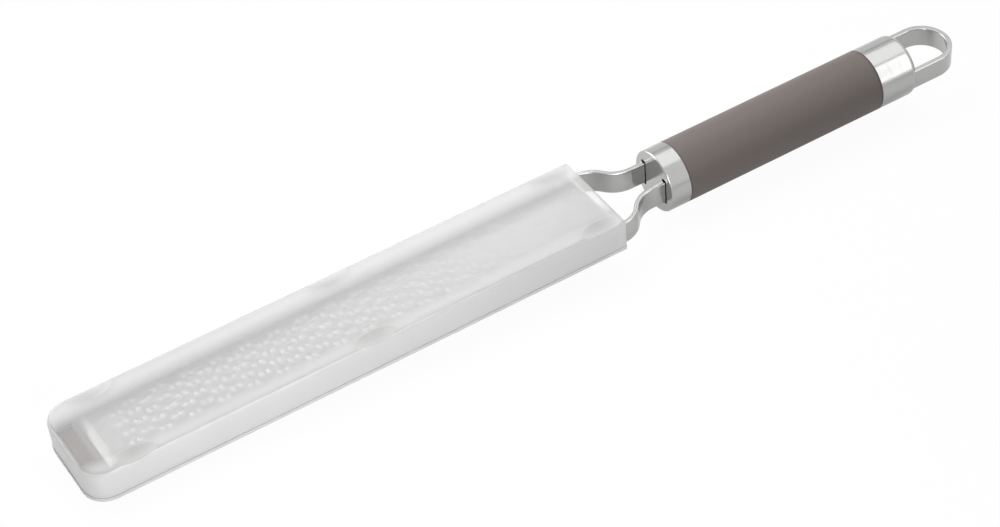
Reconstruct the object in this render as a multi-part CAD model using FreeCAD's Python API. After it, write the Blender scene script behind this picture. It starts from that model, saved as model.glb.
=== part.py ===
import FreeCAD, Part
import math
import os

# Rasp zester with a slide-off blade cover. Millimetres, +Z up.
# +X runs from the tip to the hanging loop, the part is symmetric about Y = 0,
# and the origin is the middle of its base.

V = FreeCAD.Vector

# Handle
handle_diameter = 24.0
ferrule_length = 8.2
ferrule_wall = 1.2
ferrule_face = 1.5
ferrule_edge = 0.5
grip_length = 85.6
grip_edge = 0.25
grip_wall = 2.4
seal_thickness = 0.5
seal_recess = 0.1
cap_length = 16.5
cap_shoulder = 2.5
cap_socket_depth = 6.5

# Hanging loop
loop_reach = 22.0
loop_inset = 0.75
loop_strap = 2.05
loop_height = 8.2
loop_edge = 0.4

# Blade cover
cover_length = 210.6
cover_wall = 1.2
cover_corner = 8.8
cover_edge = 2.0
cover_drop = 4.0
rim_height = 1.4
rim_proud = 0.25
dimple_length = 17.0
dimple_width = 10.0
dimple_depth = 1.0
dimple_inset = 1.0
station_first = 18.5
station_last = 8.6
station_count = 3
pad_length = 20.0
pad_below = 0.4

# Frame, a flat strip standing on edge
strip_thickness = 1.8
strip_height = 9.4
frame_width = 33.4
frame_corner = 3.0
neck_inset = 2.0
neck_length = 25.3
bend_lead = 1.1
arm_straight = 5.8
tang_length = 26.0

# Rasp blade, folded down over the frame and curled down at the tip
sheet_thickness = 0.5
fold_radius = 0.5
flange_depth = 5.0
curl_radius = 4.6
apron_length = 3.6
blade_setback = 0.8
slot_length = 2.5
slot_width = 1.5
column_pitch = 2.79
row_pitch = 5.2
rows = 4
tip_margin = 7.7
rear_margin = 18.3

# Foot at the tip
foot_depth = 6.8
foot_inset = 2.1
foot_below = 1.0
foot_corner = 5.0
foot_edge = 1.5
foot_rib_height = 3.0

# Pins and stud inside the handle
pin_diameter = 3.0
pin_first = 7.0
pin_spacing = 11.0
stud_diameter = 6.0
stud_in_core = 14.0
stud_in_cap = 5.0

# Clearances
slide_gap = 0.3
cover_side_gap = 1.85
cover_top_gap = 2.55
weld_gap = 0.05
fit_gap = 0.1
slot_side_gap = 0.4
slot_end_gap = 0.9
foot_front_gap = 0.6

# Places along X
overall_length = (
    cover_length + neck_length + ferrule_length + grip_length
    + 2 * seal_thickness + cap_length + loop_reach
)
tip_x = -overall_length / 2
cover_x = tip_x + rim_proud
cover_end_x = tip_x + cover_length
ferrule_x = cover_end_x + neck_length
front_seal_x = ferrule_x + ferrule_length
grip_x = front_seal_x + seal_thickness
rear_seal_x = grip_x + grip_length
cap_x = rear_seal_x + seal_thickness
cap_end_x = cap_x + cap_length
loop_end_x = cap_end_x + loop_reach
foot_x = cover_x + cover_wall + foot_front_gap
apron_x = foot_x + foot_depth
crossbar_x = apron_x + curl_radius
blade_end_x = cover_end_x - blade_setback
core_x = ferrule_x + ferrule_face
tang_end_x = core_x + tang_length
core_end_x = cap_x + cap_socket_depth - fit_gap

# Heights
handle_radius = handle_diameter / 2
axis_z = handle_radius
strip_bottom = axis_z - strip_height / 2
strip_top = strip_bottom + strip_height
sheet_bottom = strip_top + weld_gap
blade_top = sheet_bottom + sheet_thickness
flange_bottom = blade_top - flange_depth
cover_bottom = axis_z - cover_drop
cover_top = blade_top + cover_top_gap + cover_wall
curl_z = blade_top - curl_radius
apron_bottom = curl_z - apron_length
foot_bottom = strip_bottom - foot_below

# Radii and half widths
core_radius = handle_radius - grip_wall - fit_gap
loop_radius = handle_radius - loop_inset
neck_half = core_radius - neck_inset
neck_y = neck_half - strip_thickness / 2
frame_half = frame_width / 2
frame_y = frame_half - strip_thickness / 2
cover_half = frame_half + cover_side_gap + cover_wall
foot_half = frame_half - foot_inset
tongue_half = frame_half - frame_corner
fold_y = frame_half + weld_gap - fold_radius
fold_z = sheet_bottom - fold_radius
strip_edge = min(fold_radius + fit_gap, 0.4 * strip_thickness)
overshoot = 1.0


def line(start, end):
    return Part.LineSegment(V(*start), V(*end)).toShape()


def arc(centre, radius, start_deg, end_deg):
    # Arc in the XY plane, counter-clockwise between two angles.
    circle = Part.Circle(V(centre[0], centre[1], 0), V(0, 0, 1), radius)
    return Part.Arc(circle, math.radians(start_deg), math.radians(end_deg)).toShape()


def prism(edges, direction):
    wire = Part.Wire(Part.__sortEdges__(edges))
    return Part.Face(wire).extrude(direction)


def plan_prism(edges, low, high):
    solid = prism(edges, V(0, 0, high - low))
    solid.translate(V(0, 0, low))
    return solid


def rod(radius, start_x, end_x):
    return Part.makeCylinder(radius, end_x - start_x, V(start_x, 0, axis_z), V(1, 0, 0))


def mirrored(shape):
    return shape.mirror(V(0, 0, 0), V(0, 1, 0))


def edges_at(shape, test):
    return [edge for edge in shape.Edges if all(test(vertex.Point) for vertex in edge.Vertexes)]


def near(a, b):
    return abs(a - b) < 1e-6


def round_tip_plan(front_x, rear_x, half_width, corner):
    corner_x = front_x + corner
    corner_y = half_width - corner
    return [
        line((rear_x, -half_width, 0), (rear_x, half_width, 0)),
        line((rear_x, half_width, 0), (corner_x, half_width, 0)),
        arc((corner_x, corner_y), corner, 90, 180),
        line((front_x, corner_y, 0), (front_x, -corner_y, 0)),
        arc((corner_x, -corner_y), corner, 180, 270),
        line((corner_x, -half_width, 0), (rear_x, -half_width, 0)),
    ]


def cover_shell(front_x, rear_x, half_width, corner, low, high, edge_radius):
    solid = plan_prism(round_tip_plan(front_x, rear_x, half_width, corner), low, high)
    top_edges = edges_at(solid, lambda p: near(p.z, high))
    rounded = [edge for edge in top_edges if edge.BoundBox.XMin < rear_x - overshoot / 2]
    return solid.makeFillet(edge_radius, rounded)


def station_places():
    first = tip_x + station_first
    last = cover_end_x - station_last
    step = (last - first) / (station_count - 1)
    return [first + step * index for index in range(station_count)]


def dimple_ring(x, growth):
    # Lower part of a ring that presses the cover in over dimple_length by dimple_width.
    along = (dimple_length ** 2 / 4 + dimple_depth ** 2) / (2 * dimple_depth)
    across = (dimple_width ** 2 / 4 + dimple_depth ** 2) / (2 * dimple_depth)
    centre = V(x, cover_half - dimple_inset, cover_top - dimple_depth + along)
    return Part.makeTorus(along - across, across + growth, centre, V(0, 1, 0))


def blade_cover():
    # Open box with a round tip, a bead along its lower rim, and on each side three dents in its
    # upper edge above pads that hook under the folded edges of the blade.
    outer = cover_shell(cover_x, cover_end_x, cover_half, cover_corner, cover_bottom, cover_top, cover_edge)
    rim = plan_prism(
        round_tip_plan(tip_x, cover_end_x, cover_half + rim_proud, cover_corner + rim_proud),
        cover_bottom, cover_bottom + rim_height,
    )
    hollow = cover_shell(
        cover_x + cover_wall, cover_end_x + overshoot,
        cover_half - cover_wall, cover_corner - cover_wall,
        cover_bottom - overshoot, cover_top - cover_wall, cover_edge - cover_wall,
    )
    for x in station_places():
        dent = dimple_ring(x, 0)
        bulge = dimple_ring(x, cover_wall)
        outer = outer.cut([dent, mirrored(dent)])
        hollow = hollow.cut([bulge, mirrored(bulge)])
    shell = outer.fuse(rim).cut(hollow)
    pad_y = frame_half + slide_gap
    pad_z = cover_bottom - pad_below
    pad_width = cover_half - cover_wall / 2 - pad_y
    pad_height = flange_bottom - slide_gap - pad_z
    pads = []
    for x in station_places():
        start = x - pad_length / 2
        length = min(pad_length, cover_end_x - start)
        pad = Part.makeBox(length, pad_width, pad_height, V(start, pad_y, pad_z))
        pads += [pad, mirrored(pad)]
    return shell.fuse(pads).removeSplitter()


def arm_line(offset, rear_x):
    # Plan line of the strip on the +Y side, from the middle of the crossbar to the tang's end.
    # The offset is measured outwards from the strip's centre line.
    bar_x = crossbar_x + strip_thickness / 2
    corner = frame_corner - strip_thickness / 2
    bend_x = cover_end_x + bend_lead
    bend_end_x = ferrule_x - arm_straight
    turn = 2 * math.atan((frame_y - neck_y) / (bend_end_x - bend_x))
    turn_deg = math.degrees(turn)
    bend = (bend_end_x - bend_x) / (2 * math.sin(turn))
    return [
        line((bar_x - offset, 0, 0), (bar_x - offset, frame_y - corner, 0)),
        arc((bar_x + corner, frame_y - corner), corner + offset, 90, 180),
        line((bar_x + corner, frame_y + offset, 0), (bend_x, frame_y + offset, 0)),
        arc((bend_x, frame_y - bend), bend + offset, 90 - turn_deg, 90),
        arc((bend_end_x, neck_y + bend), bend - offset, 270 - turn_deg, 270),
        line((bend_end_x, neck_y + offset, 0), (rear_x, neck_y + offset, 0)),
    ]


def strip_outline(offset, rear_x):
    side = arm_line(offset, rear_x)
    rear_y = neck_y + offset
    return side + [mirrored(edge) for edge in side] + [line((rear_x, -rear_y, 0), (rear_x, rear_y, 0))]


def pin_places():
    return [core_x + pin_first, core_x + pin_first + pin_spacing]


def pin_rods(radius, half_length):
    return [
        Part.makeCylinder(radius, 2 * half_length, V(x, -half_length, axis_z), V(0, 1, 0))
        for x in pin_places()
    ]


def blade_frame():
    # One strip bent into a long U, whose arms draw in to the handle and run on as the tang.
    outside = plan_prism(strip_outline(strip_thickness / 2, tang_end_x), strip_bottom, strip_top)
    inside = plan_prism(
        strip_outline(-strip_thickness / 2, tang_end_x + overshoot),
        strip_bottom - overshoot, strip_top + overshoot,
    )
    strip = outside.cut(inside)
    long_edges = [
        edge for edge in edges_at(strip, lambda p: near(p.z, strip_top) or near(p.z, strip_bottom))
        if edge.BoundBox.XMin < tang_end_x - overshoot / 2
    ]
    strip = strip.makeFillet(strip_edge, long_edges)
    return strip.cut(pin_rods(pin_diameter / 2 + fit_gap, frame_half))


def tooth_slot(x, y):
    straight = (slot_length - slot_width) / 2
    radius = slot_width / 2
    edges = [
        line((x - radius, y - straight, 0), (x - radius, y + straight, 0)),
        arc((x, y + straight), radius, 0, 180),
        line((x + radius, y + straight, 0), (x + radius, y - straight, 0)),
        arc((x, y - straight), radius, 180, 360),
    ]
    return Part.Wire(Part.__sortEdges__(edges))


def tooth_slots():
    # Columns in pairs, and each second pair moved across by half a row.
    first = crossbar_x + tip_margin
    pairs = int((blade_end_x - rear_margin - first) / (2 * column_pitch))
    slots = []
    for column in range(2 * pairs):
        shift = row_pitch / 4 if column // 2 % 2 else -row_pitch / 4
        for row in range(rows):
            y = (row - (rows - 1) / 2) * row_pitch + shift
            slots.append(tooth_slot(first + column * column_pitch, y))
    return slots


def blade_panel():
    flat_corner = fold_y - tongue_half
    corner_x = crossbar_x + frame_corner
    half = [
        line((crossbar_x, 0, 0), (crossbar_x, tongue_half, 0)),
        line((crossbar_x, tongue_half, 0), (corner_x - flat_corner, tongue_half, 0)),
        arc((corner_x, tongue_half), flat_corner, 90, 180),
        line((corner_x, fold_y, 0), (blade_end_x, fold_y, 0)),
    ]
    rear = line((blade_end_x, -fold_y, 0), (blade_end_x, fold_y, 0))
    outline = Part.Wire(Part.__sortEdges__(half + [mirrored(edge) for edge in half] + [rear]))
    panel = Part.makeFace([outline] + tooth_slots(), "Part::FaceMakerBullseye")
    panel.translate(V(0, 0, sheet_bottom))
    return panel.extrude(V(0, 0, sheet_thickness))


def quarter_bend(y, z, radius):
    lean = radius * math.sqrt(0.5)
    return Part.Arc(V(0, y, z + radius), V(0, y + lean, z + lean), V(0, y + radius, z)).toShape()


def fold_section(y, z, radius, drop):
    # Sheet that leaves +Y at the top of a quarter bend and runs straight down, drawn in YZ.
    outer = radius + sheet_thickness
    return [
        line((0, y, z + radius), (0, y, z + outer)),
        quarter_bend(y, z, outer),
        line((0, y + outer, z), (0, y + outer, z - drop)),
        line((0, y + outer, z - drop), (0, y + radius, z - drop)),
        line((0, y + radius, z - drop), (0, y + radius, z)),
        quarter_bend(y, z, radius),
    ]


def rasp_blade():
    # Slotted panel with both sides folded down over the frame and its front end curled down.
    flange_x = crossbar_x + frame_corner
    side = fold_section(fold_y, fold_z, fold_radius, fold_z - flange_bottom)
    flange = prism(side, V(blade_end_x - flange_x, 0, 0))
    flange.translate(V(flange_x, 0, 0))
    front = fold_section(0, curl_z, curl_radius - sheet_thickness, apron_length)
    curl = prism(front, V(2 * tongue_half, 0, 0))
    curl.rotate(V(0, 0, 0), V(0, 0, 1), 90)
    curl.translate(V(crossbar_x, -tongue_half, 0))
    return blade_panel().fuse([flange, mirrored(flange), curl]).removeSplitter()


def tip_foot():
    # Soft block in front of the blade's apron, with a rib behind that grips the apron.
    slot_x = apron_x + sheet_thickness + slide_gap
    rear_x = crossbar_x - slide_gap
    slot_z = apron_bottom - slide_gap
    rib_z = slot_z + foot_rib_height
    block = plan_prism(round_tip_plan(foot_x, rear_x, foot_half, foot_corner), foot_bottom, strip_top)
    flat_edges = edges_at(block, lambda p: near(p.z, foot_bottom) or near(p.z, strip_top))
    rims = [edge for edge in flat_edges if edge.BoundBox.XMin < rear_x - overshoot / 2]
    block = block.makeFillet(foot_edge, rims)
    width = 2 * (foot_half + overshoot)
    slot = Part.makeBox(slot_x - apron_x, width, strip_top, V(apron_x, -width / 2, slot_z))
    step = Part.makeBox(rear_x - apron_x, width, strip_top, V(slot_x, -width / 2, rib_z))
    return block.cut([slot, step])


def slot_block(side):
    # Cutter for one arm's slot in the ferrule's face, with rounded corners.
    width = strip_thickness + 2 * slot_side_gap
    height = strip_height + 2 * slot_end_gap
    block = Part.makeBox(
        ferrule_face + 2 * overshoot, width, height,
        V(ferrule_x - overshoot, side * neck_y - width / 2, axis_z - height / 2),
    )
    long_edges = [edge for edge in block.Edges if edge.BoundBox.XLength > ferrule_face]
    return block.makeFillet(2 * slot_side_gap, long_edges)


def front_ferrule():
    body = rod(handle_radius, ferrule_x, front_seal_x)
    front_edge = edges_at(body, lambda p: near(p.x, ferrule_x))
    body = body.makeFillet(ferrule_edge, front_edge)
    bore = rod(handle_radius - ferrule_wall, core_x, front_seal_x + overshoot)
    return body.cut([bore, slot_block(1), slot_block(-1)])


def seal(start_x):
    ring = rod(handle_radius - seal_recess, start_x, start_x + seal_thickness)
    return ring.cut(rod(core_radius + fit_gap, start_x - overshoot, start_x + seal_thickness + overshoot))


def tang_pocket(side):
    width = strip_thickness + 2 * fit_gap
    height = strip_height + 2 * fit_gap
    return Part.makeBox(
        tang_length + fit_gap + overshoot, width, height,
        V(core_x - overshoot, side * neck_y - width / 2, axis_z - height / 2),
    )


def handle_core():
    # Moulded core with a collar in the ferrule, pockets for the tang and a hole for the stud.
    collar = rod(handle_radius - ferrule_wall - fit_gap, core_x, front_seal_x)
    body = collar.fuse(rod(core_radius, core_x, core_end_x))
    stud_x = core_end_x - stud_in_core - fit_gap
    stud_hole = rod(stud_diameter / 2 + fit_gap, stud_x, core_end_x + overshoot)
    cutters = [stud_hole, tang_pocket(1), tang_pocket(-1)]
    return body.cut(cutters + pin_rods(pin_diameter / 2 + fit_gap, handle_radius)).removeSplitter()


def tang_pins():
    return Part.Compound(pin_rods(pin_diameter / 2, core_radius - fit_gap))


def grip_sleeve():
    body = rod(handle_radius, grip_x, rear_seal_x)
    body = body.makeFillet(grip_edge, [edge for edge in body.Edges if edge.BoundBox.XLength < overshoot])
    return body.cut(rod(core_radius + fit_gap, grip_x - overshoot, rear_seal_x + overshoot))


def cap_stud():
    return rod(stud_diameter / 2, core_end_x - stud_in_core, cap_x + cap_socket_depth + stud_in_cap)


def loop_strap_solid():
    inner = loop_radius - loop_strap
    centre_x = loop_end_x - loop_radius
    root_x = cap_end_x - cap_shoulder - overshoot
    edges = [
        line((root_x, -loop_radius, 0), (centre_x, -loop_radius, 0)),
        arc((centre_x, 0), loop_radius, -90, 90),
        line((centre_x, loop_radius, 0), (root_x, loop_radius, 0)),
        line((root_x, loop_radius, 0), (root_x, inner, 0)),
        line((root_x, inner, 0), (centre_x, inner, 0)),
        arc((centre_x, 0), inner, -90, 90),
        line((centre_x, -inner, 0), (root_x, -inner, 0)),
        line((root_x, -inner, 0), (root_x, -loop_radius, 0)),
    ]
    strap = plan_prism(edges, axis_z - loop_height / 2, axis_z + loop_height / 2)
    rims = [edge for edge in strap.Edges if edge.BoundBox.ZLength < overshoot
            and edge.BoundBox.XMax > root_x + overshoot / 2]
    return strap.makeFillet(loop_edge, rims)


def end_cap():
    body = rod(handle_radius, cap_x, cap_end_x)
    body = body.makeFillet(cap_shoulder, edges_at(body, lambda p: near(p.x, cap_end_x)))
    body = body.fuse(loop_strap_solid())
    socket = rod(core_radius + fit_gap, cap_x - overshoot, cap_x + cap_socket_depth)
    stud_hole = rod(stud_diameter / 2 + fit_gap, cap_x, cap_x + cap_socket_depth + stud_in_cap + fit_gap)
    return body.cut([socket, stud_hole]).removeSplitter()


nodes = {
    "blade_cover": blade_cover(),
    "rasp_blade": rasp_blade(),
    "blade_frame": blade_frame(),
    "tip_foot": tip_foot(),
    "front_ferrule": front_ferrule(),
    "front_seal": seal(front_seal_x),
    "handle_core": handle_core(),
    "tang_pins": tang_pins(),
    "grip_sleeve": grip_sleeve(),
    "rear_seal": seal(rear_seal_x),
    "cap_stud": cap_stud(),
    "end_cap": end_cap(),
}

os.makedirs("parts", exist_ok=True)
for name, shape in nodes.items():
    shape.exportStep(f"parts/{name}.step")
    print(f"{name}: solids {len(shape.Solids)}, faces {len(shape.Faces)}, valid {shape.isValid()}")
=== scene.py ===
import bpy
import math
from mathutils import Matrix, Vector


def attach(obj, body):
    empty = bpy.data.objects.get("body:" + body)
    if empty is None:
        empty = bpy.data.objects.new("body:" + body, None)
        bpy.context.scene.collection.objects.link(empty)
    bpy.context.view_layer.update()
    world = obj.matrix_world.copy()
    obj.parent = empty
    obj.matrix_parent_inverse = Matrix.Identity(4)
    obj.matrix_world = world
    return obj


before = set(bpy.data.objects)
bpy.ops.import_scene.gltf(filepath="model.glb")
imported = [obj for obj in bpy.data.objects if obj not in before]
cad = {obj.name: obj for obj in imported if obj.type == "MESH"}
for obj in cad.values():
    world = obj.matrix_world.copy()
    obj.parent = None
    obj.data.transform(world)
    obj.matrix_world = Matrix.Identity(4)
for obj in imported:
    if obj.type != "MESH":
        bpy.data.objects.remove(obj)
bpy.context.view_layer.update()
mm = 0.001
lightWhite = (1, 1, 1, 1)
print("frame loaded:", len(cad), "nodes")


def hexColor(code):
    channels = [int(code[i:i + 2], 16) / 255 for i in (1, 3, 5)]
    linear = [c / 12.92 if c <= 0.04045 else ((c + 0.055) / 1.055) ** 2.4 for c in channels]
    return (*linear, 1.0)


def addNode(tree, kind, settings=None, inputs=None):
    node = tree.nodes.new(kind)
    for name, value in (settings or {}).items():
        setattr(node, name, value)
    for name, value in (inputs or {}).items():
        if isinstance(value, bpy.types.NodeSocket):
            tree.links.new(value, node.inputs[name])
        else:
            node.inputs[name].default_value = value
    return node


def calculate(tree, operation, *values):
    return addNode(tree, "ShaderNodeMath", {"operation": operation}, dict(enumerate(values))).outputs[0]


def passage(tree, value, places, results, shape="SMOOTHSTEP"):
    # Goes from the first result to the second while the value goes from the first place to the second.
    node = addNode(tree, "ShaderNodeMapRange", {"interpolation_type": shape}, {
        "Value": value,
        "From Min": places[0], "From Max": places[1],
        "To Min": results[0], "To Max": results[1],
    })
    return node.outputs["Result"]


def emptyTree(owner):
    owner.use_nodes = True
    owner.node_tree.nodes.clear()
    return owner.node_tree


def startMaterial(name, sockets):
    material = bpy.data.materials.new(name)
    tree = emptyTree(material)
    shader = addNode(tree, "ShaderNodeBsdfPrincipled", None, sockets)
    addNode(tree, "ShaderNodeOutputMaterial", None, {"Surface": shader.outputs["BSDF"]})
    place = addNode(tree, "ShaderNodeTexCoord").outputs["Object"]
    return material, tree, shader, place


def addBump(tree, shader, height, depth, strength):
    bump = addNode(tree, "ShaderNodeBump", None, {"Height": height, "Distance": depth, "Strength": strength})
    tree.links.new(bump.outputs["Normal"], shader.inputs["Normal"])


def addGrain(tree, shader, place, spec):
    grain = addNode(tree, "ShaderNodeTexNoise", None, {
        "Vector": place, "Scale": 1 / spec["grainSize"], "Detail": spec["grainDetail"],
    })
    addBump(tree, shader, grain.outputs["Fac"], spec["grainDepth"], spec["grainStrength"])


def deselectAll():
    if bpy.context.object and bpy.context.object.mode != "OBJECT":
        bpy.ops.object.mode_set(mode="OBJECT")
    bpy.ops.object.select_all(action="DESELECT")


def dress(names, material):
    for name in names:
        slots = cad[name].data.materials
        slots.clear()
        slots.append(material)


deselectAll()

# Frosted polypropylene, injection moulded: milky, with a satin skin that softens whatever lies under it.
coverFinish = {
    "color": "#E5E5E5",
    # A haze is the share of light that a face scatters, and the rest goes straight through.
    "topHaze": 0.34,
    "footHaze": 0.26, "footPlaces": (-178.4 * mm, -177.0 * mm),  # clearest above the foot
    "edgeHaze": 0.52, "edgePlaces": (10 * mm, 17 * mm),  # milkier along both sides, measured from the middle
    # Painted glare: the side at +Y is made milkier, so whiter, standing in for the glare of the light from
    # behind.
    "paintedGlareHaze": 0.72, "paintedGlarePlaces": (6 * mm, 15.5 * mm),  # and more so on the side at +Y
    "wallHaze": 0.88, "wallTurns": (0.6, 0.92),  # upward parts of the normals of wall and top
    # Painted shade: soft grey spots are painted into the colour where the dents press the plastic down. They
    # stand in for the shade of the dark gap beside the blade.
    "paintedDentShadeColor": "#D0D0CF",
    "paintedShadeFirst": -166.1 * mm, "paintedShadePitch": 91.75 * mm,
    "paintedShadeAcross": 15.6 * mm, "paintedShadeSize": (12 * mm, 4.6 * mm, 1.0),
    "roughness": 0.34,
    "ior": 1.49,
    "grainSize": 0.5 * mm, "grainDetail": 2.0,
    "grainDepth": 0.01 * mm, "grainStrength": 0.3,
}


def coverHaze(tree, along, across, normal, spec):
    clear = spec["footHaze"]
    outward = calculate(tree, "ABSOLUTE", across)
    upward = addNode(tree, "ShaderNodeSeparateXYZ", None, {"Vector": normal}).outputs["Z"]
    layers = [
        passage(tree, outward, spec["edgePlaces"], (clear, spec["edgeHaze"])),
        # Painted glare: a whiter veil on the side at +Y only.
        passage(tree, across, spec["paintedGlarePlaces"], (clear, spec["paintedGlareHaze"])),
        passage(tree, calculate(tree, "ABSOLUTE", upward), spec["wallTurns"], (spec["wallHaze"], clear)),
    ]
    haze = passage(tree, along, spec["footPlaces"], (clear, spec["topHaze"]), "LINEAR")
    for layer in layers:
        haze = calculate(tree, "MAXIMUM", haze, layer)
    return haze


def coverColorAndPaintedShade(tree, along, across, spec):
    first = spec["paintedShadeFirst"]
    half = spec["paintedShadePitch"] / 2
    plan = addNode(tree, "ShaderNodeCombineXYZ", None, {
        "X": calculate(tree, "WRAP", along, first + half, first - half),
        "Y": calculate(tree, "ABSOLUTE", across),
    })
    centred = addNode(tree, "ShaderNodeMapping", {"vector_type": "TEXTURE"}, {
        "Vector": plan.outputs["Vector"],
        "Location": (first, spec["paintedShadeAcross"], 0), "Scale": spec["paintedShadeSize"],
    })
    reach = addNode(tree, "ShaderNodeVectorMath", {"operation": "LENGTH"}, {0: centred.outputs["Vector"]})
    # Painted shade: this mask greys the cover's colour around each dent.
    paintedShade = passage(tree, reach.outputs["Value"], (0.0, 1.0), (1.0, 0.0))
    # Inputs 6 and 7 and output 2 are this node's colours.
    mix = addNode(tree, "ShaderNodeMix", {"data_type": "RGBA"}, {
        0: paintedShade, 6: hexColor(spec["color"]), 7: hexColor(spec["paintedDentShadeColor"]),
    })
    return mix.outputs[2]


def frostedPolypropylene(spec):
    material, tree, shader, place = startMaterial("frostedPolypropylene", {
        "Roughness": spec["roughness"], "IOR": spec["ior"],
    })
    addGrain(tree, shader, place, spec)
    axes = addNode(tree, "ShaderNodeSeparateXYZ", None, {"Vector": place}).outputs
    normal = place.node.outputs["Normal"]
    tree.links.new(coverHaze(tree, axes["X"], axes["Y"], normal, spec), shader.inputs["Alpha"])
    tree.links.new(coverColorAndPaintedShade(tree, axes["X"], axes["Y"], spec), shader.inputs["Base Color"])
    return material


dress(["blade_cover"], frostedPolypropylene(coverFinish))

# Stainless steel, satin brushed: a soft sheen drawn out along the brushing, with fine light and dark lines.
satinFinish = {
    "color": "#B2B2B1",
    "roughness": 0.18, "smoother": 0.05, "rougher": 0.07,  # and by how much the lines differ from it
    "lineWidth": 0.35 * mm,  # drawn coarser than the real grit so that it shows
    "lineLength": 14 * mm,
    "lineDetail": 3.0, "lineRange": (0.3, 0.7),
    "lineDepth": 0.002 * mm, "lineStrength": 0.5,
}
# The blade's sheet is rolled, so its lines are shallower and its sheen is broader.
sheetFinish = {**satinFinish, "color": "#B4B4B3", "roughness": 0.28, "lineDepth": 0.0005 * mm}
# The teeth's ground faces are rougher, and their steel is painted paler than the sheet's. The paleness is a
# painted highlight, standing in for the light that the raised domes catch.
groundFinishPaintedPale = {**satinFinish, "color": "#D8D8D7", "roughness": 0.46}
lengthwise = (0,)  # the axes that the brushing runs along
crosswise = (1, 2)


def satinSteel(name, spec, brushed):
    material, tree, shader, place = startMaterial(name, {
        "Base Color": hexColor(spec["color"]), "Metallic": 1.0,
    })
    stretch = [1 / spec["lineWidth"]] * 3
    for axis in brushed:
        stretch[axis] = 1 / spec["lineLength"]
    mapped = addNode(tree, "ShaderNodeMapping", None, {"Vector": place, "Scale": stretch})
    lines = addNode(tree, "ShaderNodeTexNoise", None, {
        "Vector": mapped.outputs["Vector"], "Scale": 1.0, "Detail": spec["lineDetail"],
    }).outputs["Fac"]
    finest = spec["roughness"] - spec["smoother"]
    coarsest = spec["roughness"] + spec["rougher"]
    rough = passage(tree, lines, spec["lineRange"], (finest, coarsest), "LINEAR")
    tree.links.new(rough, shader.inputs["Roughness"])
    addBump(tree, shader, lines, spec["lineDepth"], spec["lineStrength"])
    return material


dress(["front_ferrule", "end_cap"], satinSteel("satinSteelTurned", satinFinish, crosswise))
dress(["blade_frame", "tang_pins", "cap_stud"], satinSteel("satinSteelDrawn", satinFinish, lengthwise))
dress(["rasp_blade"], satinSteel("satinSteelSheet", sheetFinish, lengthwise))

# Soft-touch ABS, moulded with a fine matte grain: a broad dull sheen and no clear reflection.
gripFinish = {
    "color": "#6C635F",
    "roughness": 0.52,
    "ior": 1.5,
    "grainSize": 0.6 * mm, "grainDetail": 2.0,
    "grainDepth": 0.02 * mm, "grainStrength": 0.4,
}
# The core is darker ABS. The foot's brown silicone and the seals' rubber have a duller skin than the grip.
coreFinish = {**gripFinish, "color": "#3A3A3A"}
footFinish = {**gripFinish, "color": "#54402F", "roughness": 0.7}
sealFinish = {**gripFinish, "color": "#5E5553", "roughness": 0.6}


def mouldedMatte(name, spec):
    material, tree, shader, place = startMaterial(name, {
        "Base Color": hexColor(spec["color"]), "Roughness": spec["roughness"], "IOR": spec["ior"],
    })
    addGrain(tree, shader, place, spec)
    return material


dress(["grip_sleeve"], mouldedMatte("softTouchAbs", gripFinish))
dress(["handle_core"], mouldedMatte("mouldedCore", coreFinish))
dress(["tip_foot"], mouldedMatte("footSilicone", footFinish))
dress(["front_seal", "rear_seal"], mouldedMatte("sealRubber", sealFinish))
print("materials on", len(cad), "nodes")

# Each tooth is a thin dome raised over a slot of the blade, with its open mouth towards the tip.
tooth = {
    "name": "raspTeeth",
    "segments": 10, "rings": 6, "smoothAngle": 40,
    "length": 2.1 * mm, "width": 2.9 * mm, "height": 0.22 * mm,
    "sheet": 0.12 * mm,
    "mouth": -0.85,  # share of half the length at which the dome is cut open
    "first": (-163.45 * mm, -9.1 * mm, 17.23 * mm),
    "column": 2.79 * mm, "row": 5.2 * mm,
    "rows": 4, "steps": 15,  # a step holds two pairs of columns, the second half a row further across
}


def keepBeyond(point, normal):
    bpy.ops.mesh.select_all(action="SELECT")
    bpy.ops.mesh.bisect(plane_co=point, plane_no=normal, clear_inner=True)


def repeatPiece(piece, count, step):
    array = piece.modifiers.new("repeat", "ARRAY")
    array.count = count
    array.use_relative_offset = False
    array.use_constant_offset = True
    array.constant_offset_displace = step
    bpy.ops.object.modifier_apply(modifier=array.name)


deselectAll()
bpy.ops.mesh.primitive_uv_sphere_add(
    segments=tooth["segments"], ring_count=tooth["rings"], radius=1, location=(0, 0, 0),
)
teeth = bpy.context.object
teeth.name = tooth["name"]
bpy.ops.object.mode_set(mode="EDIT")
keepBeyond((0, 0, 0), (0, 0, 1))
keepBeyond((tooth["mouth"], 0, 0), (1, 0, 0))
bpy.ops.mesh.select_all(action="SELECT")
bpy.ops.transform.resize(
    value=(tooth["length"] / 2, tooth["width"] / 2, tooth["height"]), center_override=(0, 0, 0),
)
bpy.ops.object.mode_set(mode="OBJECT")
sheet = teeth.modifiers.new("sheet", "SOLIDIFY")
sheet.thickness = tooth["sheet"]
sheet.offset = -1
bpy.ops.object.modifier_apply(modifier=sheet.name)
bpy.ops.object.shade_smooth_by_angle(angle=math.radians(tooth["smoothAngle"]))
bpy.ops.object.mode_set(mode="EDIT")
bpy.ops.mesh.select_all(action="SELECT")
bpy.ops.transform.translate(value=tooth["first"])
bpy.ops.object.mode_set(mode="OBJECT")
repeatPiece(teeth, 2, (tooth["column"], 0, 0))
repeatPiece(teeth, tooth["rows"], (0, tooth["row"], 0))
repeatPiece(teeth, 2, (2 * tooth["column"], tooth["row"] / 2, 0))
repeatPiece(teeth, tooth["steps"], (4 * tooth["column"], 0, 0))
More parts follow.
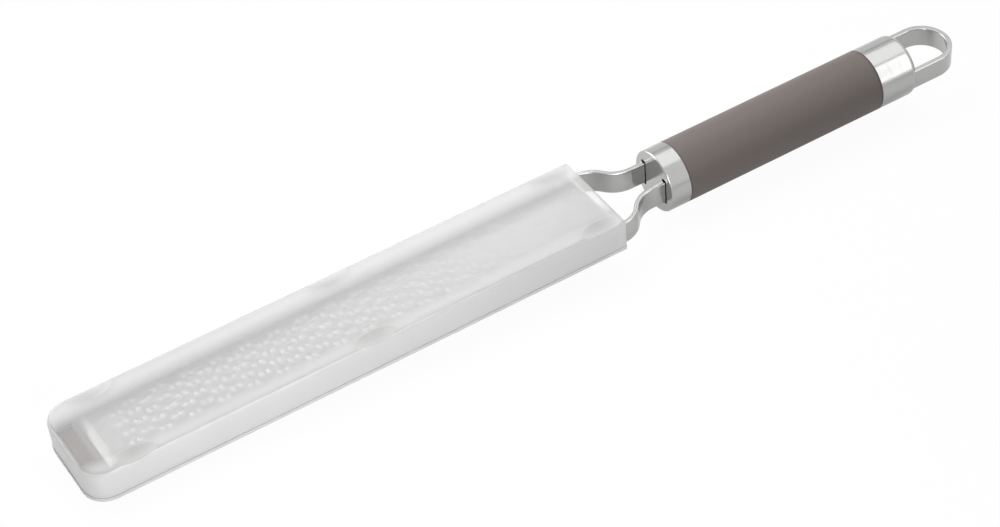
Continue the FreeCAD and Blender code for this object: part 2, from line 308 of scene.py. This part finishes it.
# Painted highlight: the teeth get the paler steel.
teeth.data.materials.append(satinSteel("groundSteelPaintedPale", groundFinishPaintedPale, lengthwise))
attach(teeth, "tool")
print("teeth:", len(teeth.data.polygons), "faces")

# The tool lies on its front foot and on the ferrule's edge, so the floor leans by the line between them.
floorSet = {
    "footX": -181.05 * mm,
    "footZ": 6.3 * mm,
    "ferruleX": 51.8 * mm,
    "gap": 0.05 * mm,
    "size": 6.0,
    "color": "#F0F0F0",
    "white": 0.96,  # share of plain white that the eye sees, the rest keeps the shadow
    "mirroredWhite": 0.45,  # the same where the floor is mirrored
}


def paperSweep(spec):
    paper = bpy.data.materials.new("paperSweep")
    tree = emptyTree(paper)
    path = addNode(tree, "ShaderNodeLightPath").outputs
    direct = calculate(tree, "MAXIMUM", path["Is Camera Ray"], path["Is Transmission Ray"])
    # From a transparent depth of 1 the floor is behind the cover, where it keeps its own shade.
    uncovered = calculate(tree, "LESS_THAN", path["Transparent Depth"], 0.5)
    seen = calculate(tree, "MULTIPLY", calculate(tree, "MULTIPLY", direct, uncovered), spec["white"])
    share = calculate(tree, "MULTIPLY_ADD", path["Is Glossy Ray"], spec["mirroredWhite"], seen)
    matte = addNode(tree, "ShaderNodeBsdfDiffuse", None, {"Color": hexColor(spec["color"])})
    glow = addNode(tree, "ShaderNodeEmission", None, {"Color": lightWhite, "Strength": 1.0})
    blend = addNode(tree, "ShaderNodeMixShader", None, {0: share, 1: matte.outputs[0], 2: glow.outputs[0]})
    addNode(tree, "ShaderNodeOutputMaterial", None, {"Surface": blend.outputs[0]})
    return paper


bpy.ops.mesh.primitive_plane_add(size=floorSet["size"], location=(0, 0, 0))
floor = bpy.context.object
floor.name = "floor"
slope = math.atan2(floorSet["footZ"], floorSet["ferruleX"] - floorSet["footX"])
floor.rotation_euler = (0, slope, 0)
floor.location = (0, 0, floorSet["ferruleX"] * math.tan(slope) - floorSet["gap"])
floor.data.materials.append(paperSweep(floorSet))

# The world is white to the eye and in reflections, and gives only a little light.
worldSet = {"name": "studio", "fill": 0.03, "white": 1.0}


def studioWorld(spec):
    world = bpy.data.worlds.new(spec["name"])
    tree = emptyTree(world)
    path = addNode(tree, "ShaderNodeLightPath").outputs
    seen = calculate(tree, "MAXIMUM", path["Is Camera Ray"], path["Is Glossy Ray"])
    seen = calculate(tree, "MAXIMUM", seen, path["Is Transmission Ray"])
    fill = addNode(tree, "ShaderNodeBackground", None, {"Color": lightWhite, "Strength": spec["fill"]})
    white = addNode(tree, "ShaderNodeBackground", None, {"Color": lightWhite, "Strength": spec["white"]})
    blend = addNode(tree, "ShaderNodeMixShader", None, {0: seen, 1: fill.outputs[0], 2: white.outputs[0]})
    addNode(tree, "ShaderNodeOutputWorld", None, {"Surface": blend.outputs[0]})
    return world


bpy.context.scene.world = studioWorld(worldSet)

# Black felt cards show only in reflections: one behind each mirrored lamp, and a strip for a dark line.
cardSet = {
    "color": "#1A1A1A",
    "lag": 0.01,  # how far a card hangs behind its lamp, as a share of the way to the lamp's aim
    "strip": {"place": (0.95, 1.0, 0.6), "tilt": 60, "size": (0.9, 0.12)},
}


def blackFelt(spec):
    felt = bpy.data.materials.new("blackFelt")
    tree = emptyTree(felt)
    dull = addNode(tree, "ShaderNodeBsdfDiffuse", None, {"Color": hexColor(spec["color"])})
    addNode(tree, "ShaderNodeOutputMaterial", None, {"Surface": dull.outputs[0]})
    return felt


felt = blackFelt(cardSet)


def hangCard(name, place, turn, size):
    bpy.ops.mesh.primitive_plane_add(size=1, location=place, rotation=turn)
    card = bpy.context.object
    card.name = name
    card.scale = (*size, 1)
    card.visible_camera = False
    card.visible_diffuse = False
    card.visible_transmission = False
    card.visible_shadow = False
    card.data.materials.append(felt)


def hangLamp(lamp):
    place, aim = Vector(lamp["place"]), Vector(lamp["aim"])
    turn = (aim - place).to_track_quat("-Z", "Y").to_euler()
    bpy.ops.object.light_add(type="AREA", location=place, rotation=turn)
    light = bpy.context.object
    light.name = lamp["name"]
    light.data.shape = "RECTANGLE"
    light.data.size, light.data.size_y = lamp["size"]
    light.data.energy = lamp["power"]
    light.visible_camera = False
    if "hides" in lamp:
        setattr(light, lamp["hides"], False)
    if light.visible_glossy:
        hangCard(lamp["name"] + "Back", place + (place - aim) * cardSet["lag"], turn, lamp["size"])


lamps = [
    # A broad box overhead, and a low strip in front of the cover's near wall.
    {"name": "overheadBox", "place": (0.6, 0.245, 0.82), "aim": (0.6, 0.245, 0),
     "size": (1.1, 0.87), "power": 5.2},
    {"name": "tipStrip", "place": (-0.13, -0.24, 0.12), "aim": (-0.13, 0, 0.01),
     "size": (0.2, 0.1), "power": 0.365},
    # A strip close behind the cover, whose glare on the sheet fades the rear teeth.
    {"name": "farStrip", "place": (-0.005, 0.13, 0.11), "aim": (-0.04, 0.02, 0.018),
     "size": (0.18, 0.04), "power": 0.07},
    # Two fills that nothing mirrors.
    {"name": "topFill", "place": (-0.1, 0.5, 0.85), "aim": (-0.06, 0, 0),
     "size": (0.7, 0.6), "power": 6.9, "hides": "visible_glossy"},
    {"name": "endFill", "place": (-0.5, -0.1, 0.2), "aim": (-0.18, 0, 0.01),
     "size": (0.2, 0.2), "power": 0.3, "hides": "visible_glossy"},
    # Three that show only as reflections: along the cover's near edge, in the cap and in the blade's curl.
    {"name": "edgeStrip", "place": (-0.02, -0.23, 0.213), "aim": (-0.1, -0.019, 0.02),
     "size": (0.18, 0.08), "power": 0.36, "hides": "visible_diffuse"},
    {"name": "capBox", "place": (0.72, -0.57, 0.48), "aim": (0.72, 0, 0.01),
     "size": (0.4, 0.85), "power": 2.75, "hides": "visible_diffuse"},
    {"name": "curlBox", "place": (-0.5125, 0.64, 0.43), "aim": (-0.5125, 0, 0.43),
     "size": (0.925, 0.85), "power": 9.4, "hides": "visible_diffuse"},
]
for lamp in lamps:
    hangLamp(lamp)
strip = cardSet["strip"]
hangCard("darkStrip", strip["place"], (math.radians(strip["tilt"]), 0, 0), strip["size"])

# The photo's camera, fitted to the object's edges.
shot = {
    "azimuth": -27.88, "elevation": 43.555, "roll": -5.779,  # degrees
    "lens": 96.22, "sensor": 36,
    "place": (-0.33619, -0.60731, 0.66167),
}
azimuth, elevation, roll = (math.radians(shot[key]) for key in ("azimuth", "elevation", "roll"))
level = math.cos(elevation)
back = Vector((math.sin(azimuth) * level, -math.cos(azimuth) * level, math.sin(elevation)))
flatSide = Vector((0, 0, 1)).cross(back).normalized()
flatTop = back.cross(flatSide)
side = math.cos(roll) * flatSide + math.sin(roll) * flatTop
top = math.cos(roll) * flatTop - math.sin(roll) * flatSide
bpy.ops.object.camera_add()
camera = bpy.context.object
camera.data.sensor_fit = "HORIZONTAL"
camera.data.sensor_width = shot["sensor"]
camera.data.lens = shot["lens"]
camera.matrix_world = Matrix.Translation(shot["place"]) @ Matrix((side, top, back)).transposed().to_4x4()
bpy.context.scene.camera = camera
bpy.context.scene.view_settings.view_transform = "Standard"
print("stage, lamps and camera set")
